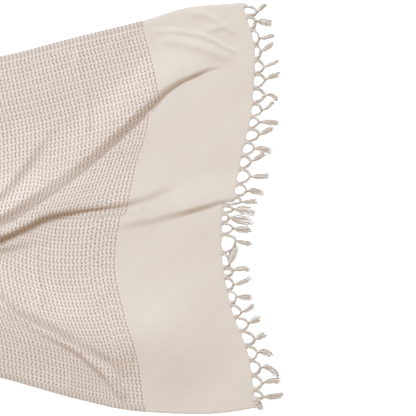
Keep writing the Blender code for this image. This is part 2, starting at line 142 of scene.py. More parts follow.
# Broad swells of the cloth: height, lengths along X and Y, and phase.
SWELLS = (
    (0.3, 210, 150, 0.4), (0.2, -130, 190, 2.1), (0.14, 95, -120, 4.4),
    (0.1, 60, 75, 1.3), (0.08, -52, 88, 5.2),
)

# Ridges and creases too low for the solid: height, width, how much of each end fades, and path of
# (back, Y).
WRINKLES = (
    # folded to be packed
    (2.3, 7, 25, ((494, -84), (489, -122), (482, -183), (472, -240))),
    (2.4, 7, 25, ((391, 400), (390, 330), (370, 253), (369, 167))),
    (1.4, 6, 20, ((409, -374), (407, -431))),
    (1.5, 6, 20, ((534, 365), (527, 300))),
    # into the upper corner of the near end
    (2.5, 4.5, 25, ((218, 412), (160, 414), (101, 404), (66, 387), (35, 371), (14, 357))),
    (1.7, 6, 20, ((98, 412), (74, 420), (47, 423), (19, 404))),
    (2.2, 6, 20, ((136, 451), (101, 455), (82, 449), (55, 430), (35, 416))),
    (2.8, 12, 30, ((203, 401), (160, 389), (113, 379), (82, 368), (51, 356), (26, 340))),
    # in the plain end
    (0.8, 4, 5, ((150, -101), (138, -106))),
    # the broad rise above the lower selvedge
    (15.5, 100, 190, ((20, -315), (200, -312), (350, -296), (573, -266), (760, -255))),
)

# The tassels of the near end from the upper selvedge down: where the knot lies (how far ahead of
# the upper corner, and Y), which way its tip lies from it, how far off, how much the tassel bends
# on the way, and how far its tip flares to each side.
TASSELS = (
    (29, 460, 45, 29, 8, 6), (25, 438, -12, 41, -14, 9), (33, 397, 13, 40, 25, 5), (37, 367, 34, 35, 20, 6),
    (44, 329, 22, 38, -20, 4), (47, 300, 20, 38, -35, 6), (47, 263, -24, 33, -120, 4.5),
    (39, 229, 38, 37, 45, 4.5), (33, 201, -2, 50, -10, 7), (33, 172, 25, 38, 5, 7.5),
    (21, 139, -8, 44, -25, 8), (14, 110, 30, 42, 10, 6.5), (13, 74, 0, 46, 5, 7.5),
    (4, 40, -8, 41, -25, 8.5), (-10, 15, 2, 40, 12, 6.5), (-27, -2, -8, 55, 0, 12),
    (-38, -22, -9, 59, 10, 13), (-28, -47, -6, 46, 10, 9), (-22, -76, -15, 40, 0, 5.5),
    (-37, -133, 72, 52, 0, 11), (-28, -146, 6, 42, -25, 7.5), (-27, -178, 20, 44, 30, 7),
    (-20, -207, -4, 40, 0, 8.5), (-9, -243, 28, 38, 25, 6.5), (9, -268, 22, 32, -5, 8.5),
    (24, -306, 29, 30, 20, 9), (29, -338, -14, 36, -80, 7), (37, -373, -28, 48, -95, 9),
    (41, -409, 8, 46, -25, 7.5), (42, -441, 5, 50, 15, 7.5), (34, -453, -85, 20, 0, 8),
)
ROOT_MARGIN = 8.0  # the first and last roots, in from the selvedges
ROOT_SAMPLES = 2001  # places where an end is measured to find the others
SCALLOP = 9.0  # from the tips of the cloth's end, at the roots, to its hollows between them
CUSP = 7.0  # and how far out the tips reach
CORNER = 14.0  # radius of the cloth's corners
SCALLOP_FADE = 30.0  # how far into the cloth the scallops are felt
NECK = 0.9  # of the way out to the knots, how far a root's two legs pull side by side
NECK_HALVES = (2.0, 1.0)  # from that neck's middle to each leg's, at its start and further out
NECK_UNEVEN = (0.8, 1.15)
SPLIT = 0.8  # of the way out, where the two legs have parted
SPLIT_SHARE = 0.72  # and how much of its way to the side each has gone there
SPLIT_UNEVEN = (0.88, 1.12)
ROOT_DEPTH = 5.0  # how deep in the cloth a leg starts
ROOT_HEIGHT = 0.6  # of the cloth's height there, how high
GATHERS = 9  # yarns that run together from the cloth's end to each root's neck
GATHER_YARN = 0.8
GATHER_STRAY = 0.06
GATHER_HALF = 0.36  # of the distance between two roots, how far to each side they start
GATHER_DEPTH = 4.0  # and how deep in the cloth, those in the middle
GATHER_LESS = 0.6  # of that depth, what those at the sides lack
GATHER_NECK = 2.6  # half the width of the neck where they end
GATHER_REACH = 9.0  # and how far out that is
GATHER_UNEVEN = (0.85, 1.15)
GATHER_POINTS = 7
GATHER_TONES = (0.84, 1.0)
FAR_REACH = 24.0
FAR_LENGTH = 34.0
FAR_UNEVEN = 3.0
FAR_SWING = math.radians(22)
FAR_BEND = 30.0
FAR_FLARES = (3.5, 6.0)
FAR_WAVES = (2.4, 1.7)  # radians from tassel to tassel, of bends and of flares
FAR_SEED = 7

LEG_YARNS = 8
LEG_YARN = 1.1  # radius of a leg's yarns
LEG_REACH = 9.0  # a knot counts as at least this far out
LEG_WIDTHS = (2.3, 2.8)  # how far they lie off the leg's middle, at its ends and midway
LEG_LIFT = 1.0  # and up and down
LEG_ABOVE = (0.8, 0.4, 0.6)  # free height under its neck, where it has parted and at its knot
LEG_TWIST = 19.0  # length of one turn of a leg
LEG_POINTS = 13
LEG_UNEVEN = (0.7, 1.35)
LEG_LOOSE = (-0.15, 0.25)
LEG_TONES = (0.78, 1.0)
TASSEL_YARNS = 24
TASSEL_YARN = 0.85
TASSEL_TAPER = 0.4  # of a yarn's radius, what is lost at its tip
TASSEL_TONES = (0.86, 1.06)
UPPER_YARNS = 0.8  # past this share of the way to a tassel's upper side, yarns are darker, as painted shade
# painted shade: the share of their tone that those upper yarns keep
UPPER_PAINTED_SHADE = 0.8
WAIST = 1.4
TASSEL_POINTS = 10
WIDEST = 0.45  # of a tassel's length, where its yarns have spread
SPREAD = 0.8  # of its flare, how far its outer yarns lie off its middle
FORK = 1.2  # its two halves part by up to this much at the tip
LEAN = 0.4  # of the way to its sides, how far from its middle its longest yarns may lie
LONGEST = 1.05  # of a tassel's length
ROUNDED = 0.1  # how much shorter the yarns far from them are
RAGGED = 0.24  # and how much shorter still any yarn may be
STRAY = 0.15
FRAY = 2.2  # how far a tip strays to the side
FRAY_FROM = 0.6  # of the length, where that starts
WAVE = 0.5  # how far a yarn waves to the side
WAVE_TURNS = (7, 12)
LAYERS = (0.0, 1.0, 2.0)
LAYER_LESS = 0.6  # of its layer's height, what a yarn at a tassel's side lacks
LAYER_HEIGHT = 1.2
LAYER_FIRST = 0.5
LAYER_SINK = 0.45  # of that, what is lost on the way to the tip
TASSEL_LIFT = 1.2  # how much higher a tassel leaves its knot
KNOT_RADIUS = 2.3  # from its middle to the middle of the strand round it
KNOT_SHAPE = (0.8, 0.25)  # of that radius, its ends, and what its middle has more
KNOT_WIDE = 1.15
KNOT_HIGH = 0.85
KNOT_STRAND = 1.2
KNOT_SUNK = 0.9  # of the strand's radius, how high the knot lies
KNOT_LENGTH = 4.5
KNOT_TURNS = 2.2
KNOT_POINTS = 30
# painted shade: knots get darker tones than the other yarns, for the shade inside a knot, still differing
# at random
KNOT_PAINTED_SHADE_TONES = (0.74, 0.94)
YARN_SIDES = 5
FRINGE_SEED = 31


def clamp(t):
    return np.clip(t, 0.0, 1.0)


def smooth(t):
    """0 to 1 with level ends."""
    t = clamp(t)
    return t * t * (3.0 - 2.0 * t)


def between(low, high, share):
    return low + (high - low) * share


def unit(vectors):
    return vectors / np.linalg.norm(vectors, axis=-1, keepdims=True)


def distances(path):
    """How far along a path each of its points is."""
    steps = np.linalg.norm(np.diff(path, axis=0), axis=1)
    return np.concatenate([[0.0], np.cumsum(steps)])


class Curve:
    """A smooth curve through points in rising x that never swings past them."""

    def __init__(self, xs, ys):
        self.xs = np.array(xs, float)
        self.ys = np.array(ys, float)
        steps = np.diff(self.ys) / np.diff(self.xs)
        before, after = steps[:-1], steps[1:]
        same_way = before * after > 0
        total = np.where(same_way, before + after, 1.0)
        middle = np.where(same_way, 2.0 * before * after / total, 0.0)
        self.slopes = np.concatenate([steps[:1], middle, steps[-1:]])

    def at(self, x):
        x = np.clip(x, self.xs[0], self.xs[-1])
        i = np.clip(np.searchsorted(self.xs, x, side="right") - 1, 0, len(self.xs) - 2)
        length = self.xs[i + 1] - self.xs[i]
        t = (x - self.xs[i]) / length
        rise = self.ys[i + 1] - self.ys[i]
        start = self.slopes[i] * length
        end = self.slopes[i + 1] * length
        return self.ys[i] + t * (start + t * (3 * rise - 2 * start - end + t * (start + end - 2 * rise)))

    def slope(self, x):
        return (self.at(x + 1.0) - self.at(x - 1.0)) / 2.0


class Crease:
    """One fold: its crest as a curve in plan, and what the tables say along it."""

    def __init__(self, fold):
        self.rise, self.lean, self.foot, self.slip, self.quick, crest = fold
        backs, *columns = zip(*crest)
        self.y, self.height, self.push, self.drop = [Curve(backs, column) for column in columns]

    def below(self, back, y):
        """(distance below the crest, how far back its nearest point is, way down in plan)."""
        foot = back
        for _ in range(2):
            slope = self.y.slope(foot)
            size = np.hypot(1.0, slope)
            down = (slope / size, -1.0 / size)  # a crest that climbs towards -X drops to +back
            gap = (back - foot) * down[0] + (y - self.y.at(foot)) * down[1]
            foot = back - gap * down[0]
        return gap, foot, down

    def lift(self, back, y):
        """(shift in back, shift in y, height) that this fold gives the cloth at places."""
        gap, foot, down = self.below(back, y)
        height = self.height.at(foot)
        rising = smooth(1.0 + gap / self.rise)
        fall = clamp(gap / self.drop.at(foot))
        woven = smooth((foot - FOOT_FROM) / FOOT_OVER)
        shape = between(self.foot, WOVEN_FOOT, woven)
        left = 0.5 + 0.5 * np.cos(math.pi * fall**shape)
        lean = self.lean * np.minimum(height / LEAN_HEIGHT, MOST_LEAN)
        tip = lean * np.sin(2.0 * math.pi * fall)
        return tip * down[0], tip * down[1], height * np.where(gap > 0.0, left, rising)

    def felt(self, back, y, push, drop):
        """The share of a push that is felt at places, where the fold drops over "drop"."""
        gap, _, down = self.below(back, y)
        over = PUSH_OVER * drop + PUSH_ROOM * np.maximum(push * down[0], 0.0)
        quickly = smooth((gap - self.slip * drop) / over)
        later = smooth((gap - drop) / PUSH_TAIL)
        return self.quick * quickly + (1.0 - self.quick) * later


CREASES = [Crease(fold) for fold in FOLDS]
ALONGS, TOPS, BOTTOMS, BACKS = zip(*SECTIONS)
TOP, BOTTOM = Curve(ALONGS, TOPS), Curve(ALONGS, BOTTOMS)
STATIONS = [Curve(ALONGS, backs) for backs in zip(*BACKS)]
FINE = 480  # steps along a line across the towel when it is laid and measured
HALVINGS = 16  # of the way that a push could take it, to find where a line settles


class Line:
    """One line across the towel, at a distance along it, that keeps the cloth's true width.

    Where the line is shorter, the folds take up what is over, in proportion to their heights.
    """

    def __init__(self, along):
        share = np.linspace(0.0, 1.0, FINE + 1)
        self.y = between(TOP.at(along), BOTTOM.at(along), share)
        backs = [station.at(along) for station in STATIONS]
        self.back = Curve(np.linspace(0.0, 1.0, len(backs)), backs).at(share)
        for crease in CREASES:
            self.back = self.settled(crease)
        steps = np.hypot(np.diff(self.back), np.diff(self.y))
        self.walk = np.concatenate([[0.0], np.cumsum(steps)])
        length = self.walk[-1]
        drops = [self.meet(crease) for crease in CREASES]
        total = sum(height for _, _, height in drops)
        spare = max(WIDTH - length, LEAST_TAKEN * total)
        rate = spare / total if total > ALMOST_FLAT else 0.0
        self.scale = length / (WIDTH - rate * total)
        self.folds = []  # distance across where a drop starts, its width in plan, what it takes up
        taken = 0.0
        for start, end, height in drops:
            self.folds.append((start / self.scale + taken, (end - start) / self.scale, rate * height))
            taken += rate * height

    def settled(self, crease):
        """Where the line lies once a fold has pushed it, with the push felt by place."""
        past_crest = crease.y.at(self.back) - self.y
        at = self.back[self.first(past_crest, 1)]
        push, drop = crease.push.at(at), crease.drop.at(at)
        low, high = self.back - abs(push), self.back + abs(push)
        for _ in range(HALVINGS):
            middle = (low + high) / 2
            too_far = middle - self.back > push * crease.felt(middle, self.y, push, drop)
            high = np.where(too_far, middle, high)
            low = np.where(too_far, low, middle)
        return (low + high) / 2

    def meet(self, crease):
        """How far along this line the drop of a fold starts and ends, and the crest's height."""
        past_crest = crease.y.at(self.back) - self.y
        i = self.first(past_crest, 1)
        gap, foot, _ = crease.below(self.back, self.y)
        past_drop = gap - crease.drop.at(foot)
        start = self.reached(past_crest, i)
        end = self.reached(past_drop, self.first(past_drop, i))
        return start, max(end, start + 1.0), crease.height.at(np.interp(start, self.walk, self.back))

    def first(self, values, low):
        """The first fine step from low on at which the values are no longer below nothing."""
        found = np.nonzero(values[low:] >= 0.0)[0]
        return low + int(found[0]) if len(found) else FINE

    def reached(self, values, i):
        """How far along the line the values reach nothing, just before fine step i."""
        share = clamp(-values[i - 1] / max(values[i] - values[i - 1], 1e-6))
        return between(self.walk[i - 1], self.walk[i], share)

    def points(self, acrosses):
        """(back, y, z) of the cloth's underside at distances across it."""
        across = np.asarray(acrosses, float)
        walked = across - sum(
            taking * clamp((across - start) / (crossing + taking))
            for start, crossing, taking in self.folds
        )
        walked = walked * self.scale
        back = np.interp(walked, self.walk, self.back)
        y = np.interp(walked, self.walk, self.y)
        shift_back, shift_y, height = np.sum([crease.lift(back, y) for crease in CREASES], axis=0)
        return np.stack([back + shift_back, y + shift_y, height], -1)

    def stops(self):
        """Distances across at which the cloth is cut into cells, closer together at the folds."""
        marks = []
        last = 0.0
        for cells, (start, crossing, taking) in zip(COLUMNS_BETWEEN, self.folds):
            marks += self.flat(last, start, cells)
            end = start + crossing + taking
            marks += [between(start, end, i / COLUMNS_DOWN) for i in range(COLUMNS_DOWN)]
            last = end
        return marks + self.flat(last, WIDTH, COLUMNS_BETWEEN[-1]) + [WIDTH]

    def flat(self, low, high, cells):
        """Where the cells of a flat start: a narrow one first, then narrower to its far end."""
        foot = low + min(FOOT_CELL, (high - low) / cells)
        shares = [1.0 - (1.0 - i / cells) ** TIGHTER for i in range(cells)]
        return [low] + [between(foot, high, share) for share in shares]


def placed(points):
    """Points (back, y, z) of the towel's tables as points in metres."""
    back, y, z = np.moveaxis(np.asarray(points, float), -1, 0)
    return np.stack([CORNER_X - back, y + CENTRE_Y, z], -1) * MM


def root_places(end, knots):
    """Across, at one end of the cloth, of the root between each two knots and beyond the last."""
    acrosses = np.linspace(0.0, WIDTH, ROOT_SAMPLES)
    ys = Line(end).points(acrosses)[:, 1]
    down = [CENTRE_Y - y for _, y, *_ in knots]
    middles = [(above + below) / 2 for above, below in zip(down, down[1:])]
    return [ROOT_MARGIN, *np.interp(middles, -ys, acrosses), WIDTH - ROOT_MARGIN]


def scalloped(across, from_end, roots):
    """How far out (+) or in (-) the cloth is cut, at distances across it and from its end."""
    i = np.clip(np.searchsorted(roots, across), 1, len(roots) - 1)
    low, high = np.take(roots, i - 1), np.take(roots, i)
    near = clamp(np.minimum(across - low, high - across) / ((high - low) / 2))
    cut = CUSP - SCALLOP * np.sqrt(1.0 - (1.0 - near) ** 2)
    corner = clamp(1.0 - np.minimum(across, WIDTH - across) / CORNER)
    cut = cut - CORNER * (1.0 - np.sqrt(1.0 - corner**2))
    return cut * clamp(1.0 - from_end / SCALLOP_FADE)


def wrinkled(points):
    """Height that the wrinkles add at points (back, y, z)."""
    at = points[..., :2]
    lift = np.zeros(at.shape[:-1])
    for height, width, fade, path in WRINKLES:
        path = np.array(path, float)
        steps = np.linalg.norm(np.diff(path, axis=0), axis=1)
        total, walked = steps.sum(), 0.0
        nearest, from_end = np.full(lift.shape, np.inf), np.zeros(lift.shape)
        for start, end, step in zip(path, path[1:], steps):
            t = clamp(((at - start) @ (end - start)) / step**2)
            gap = np.linalg.norm(at - (start + t[..., None] * (end - start)), axis=-1)
            here = walked + t * step
            from_end = np.where(gap < nearest, np.minimum(here, total - here), from_end)
            nearest = np.minimum(nearest, gap)
            walked += step
        lift += height * smooth(from_end / fade) * np.exp(-((nearest / width) ** 2))
    return lift


def swollen(points):
    """Height that the broad swells add at points (back, y, z)."""
    back, y = points[..., 0], points[..., 1]
    lift = np.zeros(back.shape)
    for height, along_x, along_y, phase in SWELLS:
        wave = np.sin(2 * math.pi * (back / along_x + y / along_y) + phase)
        lift += height * (1.0 + wave)
    return lift


def grid_normals(points):
    return unit(np.cross(np.gradient(points, axis=0), np.gradient(points, axis=1)))


def mesh_of(name, points, faces):
    mesh = bpy.data.meshes.new(name)
    mesh.from_pydata([tuple(p) for p in points], [], faces)
    mesh.update()
    mesh.shade_smooth()
    return mesh


def add_map(mesh, name, places):
    """A UV map, from a place for each corner of each face."""
    layer = mesh.uv_layers.new(name=name, do_init=False)
    layer.uv.foreach_set("vector", places.astype(np.float32).ravel())


def add_object(name, data):
    added = bpy.data.objects.new(name, data)
    bpy.context.scene.collection.objects.link(added)
    return added


def show(mesh, material):
    mesh.materials.append(material)
    return add_object(mesh.name, mesh)


FLOOR_GAP = 0.05  # what would sink into the surface is flattened this far above it
SHARP = math.radians(70)
BAKE_EDGE = 0.004  # margin in the flattened map, of the face at its left and the underside
RIM_BEFORE = 0.9  # margins from the first of the rim's four strips to the map's middle
RIM_STEP = 0.45  # and from strip to strip
RIM_HALF = 0.2  # half the width of one


def cloth_grid(near_roots, far_roots):
    """Grids of the cloth's face, its underside, and their distances across and along."""
    alongs = np.concatenate([
        np.linspace(0.0, SEEN, ROWS_SEEN, endpoint=False),
        np.linspace(SEEN, LENGTH, ROWS_UNSEEN + 1),
    ])
    lines = [Line(along) for along in alongs]
    across = np.array([line.stops() for line in lines])
    under = np.array([line.points(stops) for line, stops in zip(lines, across)])
    along = np.repeat(alongs[:, None], across.shape[1], axis=1)
    far_cut = scalloped(across, LENGTH - along, far_roots)
    under[..., 0] += far_cut - scalloped(across, along, near_roots)
    under[..., 2] += wrinkled(under) + swollen(under)
    low = placed(under)
    from_edge = np.minimum(np.minimum(across, WIDTH - across), np.minimum(along, LENGTH - along))
    inner = clamp(from_edge / EDGE_FADE)
    thick = THICKNESS * (EDGE_THICKNESS + (1.0 - EDGE_THICKNESS) * inner * (2.0 - inner))
    high = low + grid_normals(low) * thick[..., None] * MM
    high[..., 2] = np.maximum(high[..., 2], FLOOR_GAP * MM)
    return high, low, across, along


def flattened(places, faces, rims):
    """A place of its own for each corner in the map, from shares of the width and the length."""
    size = np.array([0.5 - 2.5 * BAKE_EDGE, 1.0 - 4 * BAKE_EDGE])
    spread = (BAKE_EDGE + places * size)[faces.ravel()]
    at = len(spread) - sum(rim.size for rim in rims)
    spread[at // 2:at, 0] += 0.5
    for k, rim in enumerate(rims):
        share = np.linspace(0.0, 1.0, len(rim) + 1)
        strip = 0.5 - BAKE_EDGE * (RIM_BEFORE - RIM_STEP * k)
        corners = np.empty((*rim.shape, 2))
        corners[:, (0, 3), 0] = strip - RIM_HALF * BAKE_EDGE
        corners[:, (1, 2), 0] = strip + RIM_HALF * BAKE_EDGE
        corners[:, :2, 1] = share[:-1, None]
        corners[:, 2:, 1] = share[1:, None]
        spread[at:at + rim.size] = corners.reshape(-1, 2)
        at += rim.size
    return spread


def build_cloth(near_roots, far_roots, material):
    """The cloth as one closed sheet, with its distances across and along kept in a map."""
    high, low, across, along = cloth_grid(near_roots, far_roots)
    index = np.arange(across.size).reshape(across.shape)
    shift = index.size
    a, b, c, d = index[:-1, :-1], index[1:, :-1], index[1:, 1:], index[:-1, 1:]
    tops = np.stack([a, b, c, d], -1).reshape(-1, 4)
    bottoms = np.stack([a, d, c, b], -1).reshape(-1, 4) + shift
    rims = [
        np.stack([edge[:-1], edge[:-1] + shift, edge[1:] + shift, edge[1:]], -1)
        for edge in (index[:, 0], index[::-1, -1], index[-1, :], index[0, ::-1])
    ]
    faces = np.concatenate([tops, bottoms, *rims])
    points = np.concatenate([high.reshape(-1, 3), low.reshape(-1, 3)])
    mesh = mesh_of("towel", points, faces.tolist())
    weave = np.concatenate([np.stack([across, along], -1).reshape(-1, 2)] * 2) * MM
    add_map(mesh, "Weave", weave[faces.ravel()])
    add_map(mesh, "OFBake", flattened(weave / np.array([WIDTH * MM, LENGTH * MM]), faces, rims))
    mesh.uv_layers.active = mesh.uv_layers["Weave"]
    mesh.set_sharp_from_angle(angle=SHARP)
    return show(mesh, material)


class Yarns:
    """Many tubes gathered in one mesh, each with its own tone and its length kept in a map."""

    def __init__(self):
        self.points, self.faces, self.tones, self.marks = [], [], [], []
        self.count = 0

    def add(self, path, radius, tone, side=(0.0, 0.0, 1.0)):
        """A tube of that radius, or of a radius for each point, along a path in millimetres."""
        tangent = unit(np.gradient(path, axis=0))
        left = unit(np.cross(side, tangent))
        up = np.cross(tangent, left)
        angle = np.linspace(0.0, 2 * math.pi, YARN_SIDES, endpoint=False)[:, None]
        radius = np.broadcast_to(radius, len(path))[:, None, None]
        points = path[:, None] + radius * (np.cos(angle) * left[:, None] + np.sin(angle) * up[:, None])
        index = self.count + np.arange(len(path) * YARN_SIDES).reshape(-1, YARN_SIDES)
        after = np.roll(index, -1, axis=1)
        sides = np.stack([index[:-1], after[:-1], after[1:], index[1:]], -1).reshape(-1, 4)
        self.faces += sides.tolist()
        self.faces += [index[0, ::-1].tolist(), index[-1].tolist()]
        turn = np.broadcast_to(np.arange(YARN_SIDES) / YARN_SIDES, index.shape)
        walked = np.broadcast_to(distances(path)[:, None], index.shape)
        self.marks.append(np.stack([turn, walked], -1).reshape(-1, 2))
        self.tones.append(np.full(index.size, tone))
        self.points.append(points.reshape(-1, 3))
        self.count += index.size

    def piece(self, name, material):
        points = np.concatenate(self.points)
        points[:, 2] = np.maximum(points[:, 2], FLOOR_GAP)
        mesh = mesh_of(name, points * MM, self.faces)
        tone = mesh.attributes.new("tone", "FLOAT", "POINT")
        tone.data.foreach_set("value", np.concatenate(self.tones).astype(np.float32))
        corners = np.zeros(len(mesh.loops), np.int32)
        mesh.loops.foreach_get("vertex_index", corners)
        add_map(mesh, "Yarn", np.concatenate(self.marks)[corners])
        return show(mesh, material)


def bezier(count, points):
    """Points at even parameters of a Bezier curve through the first and last control points."""
    points = np.repeat(np.asarray(points, float)[:, None], count, axis=1)
    t = np.linspace(0.0, 1.0, count)[:, None]
    while len(points) > 1:
        points = points[:-1] * (1.0 - t) + points[1:] * t
    return points[0]


def add_leg(yarns, chance, root, out, knot, hand, height):
    """One leg: out of the cloth beside its twin, then apart from it and round to its knot."""
    side_way = np.array([-out[1], out[0]]) * hand
    reach = max(float((knot - root) @ out), LEG_REACH)
    lateral = max(float((knot - root) @ side_way), 0.0)
    stay = chance.uniform(*NECK_UNEVEN) * NECK
    beside = SPLIT_SHARE * lateral * chance.uniform(*NECK_UNEVEN)
    parted = SPLIT * chance.uniform(*SPLIT_UNEVEN)
    start, neck = [side_way * half for half in NECK_HALVES]
    above = [LEG_YARN + LEG_LIFT + free for free in LEG_ABOVE]
    middle = bezier(LEG_POINTS, [
        (*(root - out * ROOT_DEPTH + start), height * ROOT_HEIGHT + LEG_LIFT),
        (*(root + out * reach * stay + neck), above[0]),
        (*(root + out * reach * parted + side_way * beside), above[1]),
        (*knot, above[2]),
    ])
    tangent = np.gradient(middle, axis=0)
    side = unit(np.stack([-tangent[:, 1], tangent[:, 0]], -1))
    walked = distances(middle)
    bulge = np.sin(math.pi * walked / walked[-1])
    width = between(*LEG_WIDTHS, bulge) * chance.uniform(*LEG_UNEVEN)
    phase = chance.uniform(0, 2 * math.pi)
    for k in range(LEG_YARNS):
        angle = 2 * math.pi * (k / LEG_YARNS + walked / LEG_TWIST) + phase
        loose = 1.0 + chance.uniform(*LEG_LOOSE) * bulge
        path = middle.copy()
        path[:, :2] += side * (width * loose * np.cos(angle))[:, None]
        path[:, 2] += LEG_LIFT * np.sin(angle)
        yarns.add(path, LEG_YARN, chance.uniform(*LEG_TONES))


def add_gathers(yarns, chance, root, out, spacing, height):
    """The yarns of one root, from the end of the cloth on both sides of it into its neck."""
    across = np.array([-out[1], out[0]])
    for k in range(GATHERS):
        place = 2.0 * (k + 0.5) / GATHERS - 1.0 + chance.uniform(-GATHER_STRAY, GATHER_STRAY)
        wide = place * spacing * GATHER_HALF
        end = place * GATHER_NECK
        deep = GATHER_DEPTH * (1.0 - GATHER_LESS * abs(place))
        reach = GATHER_REACH * chance.uniform(*GATHER_UNEVEN)
        # in the cloth, over its edge, down past it, and in the neck, higher in its middle
        path = bezier(GATHER_POINTS, [
            (*(root - out * deep + across * wide), height + THICKNESS * 0.5),
            (*(root + out * 1.0 + across * wide * 0.75), height + THICKNESS * 0.6 + 0.5),
            (*(root + out * reach * 0.4 + across * end * 1.2), GATHER_YARN + 1.3),
            (*(root + out * reach + across * end), GATHER_YARN + 1.2 * (1.0 - abs(place)) + 0.6),
        ])
        yarns.add(path, GATHER_YARN, chance.uniform(*GATHER_TONES))


def add_knot(yarns, chance, knot, heading):
    """A knot: a strand wound round where the two legs meet."""
    axis = np.array([math.cos(heading), math.sin(heading), 0.0])
    left = np.array([-axis[1], axis[0], 0.0])
    t = np.linspace(0.0, 1.0, KNOT_POINTS)
    angle = 2 * math.pi * KNOT_TURNS * t + chance.uniform(0, 2 * math.pi)
    centre = np.array([*knot, KNOT_RADIUS + KNOT_STRAND * KNOT_SUNK])
    path = centre + axis * (KNOT_LENGTH * (t - 0.5))[:, None]
    bulge = KNOT_RADIUS * (KNOT_SHAPE[0] + KNOT_SHAPE[1] * np.sin(math.pi * t))
    path = path + left * (bulge * KNOT_WIDE * np.cos(angle))[:, None]
    path[:, 2] += bulge * KNOT_HIGH * np.sin(angle)
    # its darker tone is painted shade inside the knot
    yarns.add(path, KNOT_STRAND, chance.uniform(*KNOT_PAINTED_SHADE_TONES), axis)


def add_tassel(yarns, chance, knot, heading, length, bend, flare):
    """The yarns past a knot: they spread as they go, bend together and fray at their tips."""
    t = np.linspace(0.0, 1.0, TASSEL_POINTS)
    turn = math.radians(bend)
    angle = heading - turn / 2 + turn * t
    onwards = np.stack([np.cos(angle), np.sin(angle)], -1)
    aside = np.stack([-np.sin(angle), np.cos(angle)], -1)
    arc = length * (1.0 if abs(turn) < 1e-3 else (turn / 2) / math.sin(turn / 2))
    half = between(WAIST, SPREAD * flare, smooth(t / WIDEST))
    frayed = clamp((t - FRAY_FROM) / (1.0 - FRAY_FROM)) ** 2
    lean = chance.uniform(-LEAN, LEAN)
    fork = chance.uniform(0.0, FORK)
    for k in range(TASSEL_YARNS):
        place = 2.0 * (k + 0.5) / TASSEL_YARNS - 1.0
        side = place + chance.uniform(-STRAY, STRAY)
        short = chance.uniform(0.0, RAGGED)
        reach = arc * (LONGEST - ROUNDED * (place - lean) ** 2 - short)
        steps = onwards * reach / (TASSEL_POINTS - 1)
        middle = np.concatenate([[[0.0, 0.0]], np.cumsum((steps[1:] + steps[:-1]) / 2, axis=0)])
        fray = frayed * chance.uniform(-FRAY, FRAY)
        fray = fray + math.copysign(fork, place - 0.3 * lean) * t**2
        wave = WAVE * t * np.sin(t * chance.uniform(*WAVE_TURNS) + chance.uniform(0, 6))
        lateral = aside * (side * half + fray + wave)[:, None]
        layer = chance.choice(LAYERS) * (1.0 - abs(place) * LAYER_LESS)
        lift = (layer * LAYER_HEIGHT + LAYER_FIRST) * (1.0 - LAYER_SINK * t)
        height = TASSEL_YARN + lift + TASSEL_LIFT * (1.0 - t) ** 3
        path = np.concatenate([knot + middle + lateral, height[:, None]], axis=1)
        radius = TASSEL_YARN * (1.0 - TASSEL_TAPER * t**3)
        # painted shade: the yarns along a tassel's upper side are darker
        painted_shade = UPPER_PAINTED_SHADE if place > UPPER_YARNS else 1.0
        yarns.add(path, radius, painted_shade * chance.uniform(*TASSEL_TONES))


def build_fringe(name, end, facing, knots, roots, material):
    """One end's fringe, which faces +X (1) or -X (-1)."""
    chance = random.Random(FRINGE_SEED + int(end))
    yarns = Yarns()
    out = np.array([facing, 0.0])
    edge = [(np.array([CORNER_X - back, y + CENTRE_Y]), z) for back, y, z in Line(end).points(roots)]
    spacing = (edge[0][0] - edge[-1][0])[1] / len(knots)
    for root, height in edge:
        add_gathers(yarns, chance, root, out, spacing, height)
    for i, (x, y, heading, length, bend, flare) in enumerate(knots):
        knot = np.array([x, y])
        for hand, (root, height) in zip((-facing, facing), edge[i:i + 2]):
            add_leg(yarns, chance, root, out, knot, hand, height)
        add_knot(yarns, chance, knot, heading - math.radians(bend) / 2)
        add_tassel(yarns, chance, knot, heading, length, bend, flare)
    return yarns.piece(name, material)


def near_knots():
    """(x, y, heading, length, bend, flare) of each knot and its tassel."""
    return [
        (CORNER_X + ahead, y + CENTRE_Y, math.radians(swing), *shape)
        for ahead, y, swing, *shape in TASSELS
    ]


def far_knots():
    """The far end's knots stand in an even row off its edge, each a little out of place."""
    chance = random.Random(FAR_SEED)
    line = Line(LENGTH)
    step = (WIDTH - 2 * ROOT_MARGIN) / len(TASSELS)
    knots = []
    for i in range(len(TASSELS)):
        back, y, _ = line.points([ROOT_MARGIN + step * (i + 0.5)])[0]
        reach = FAR_REACH + chance.uniform(-1, 1) * FAR_UNEVEN
        swing = math.pi + chance.uniform(-1, 1) * FAR_SWING
        length = FAR_LENGTH + chance.uniform(-1, 1) * FAR_UNEVEN
        bend = math.sin(i * FAR_WAVES[0]) * FAR_BEND
        wide = 0.5 + 0.5 * math.cos(i * FAR_WAVES[1])
        flare = between(*FAR_FLARES, wide)
        knots.append((CORNER_X - back - reach, y + CENTRE_Y, swing, length, bend, flare))
    return knots


def fill(node, inputs):
    """Links the inputs that are given as sockets, and sets the others to their values."""
    for key, value in inputs.items():
        if isinstance(value, bpy.types.NodeSocket):
            node.id_data.links.new(value, node.inputs[key])
        else:
            node.inputs[key].default_value = value


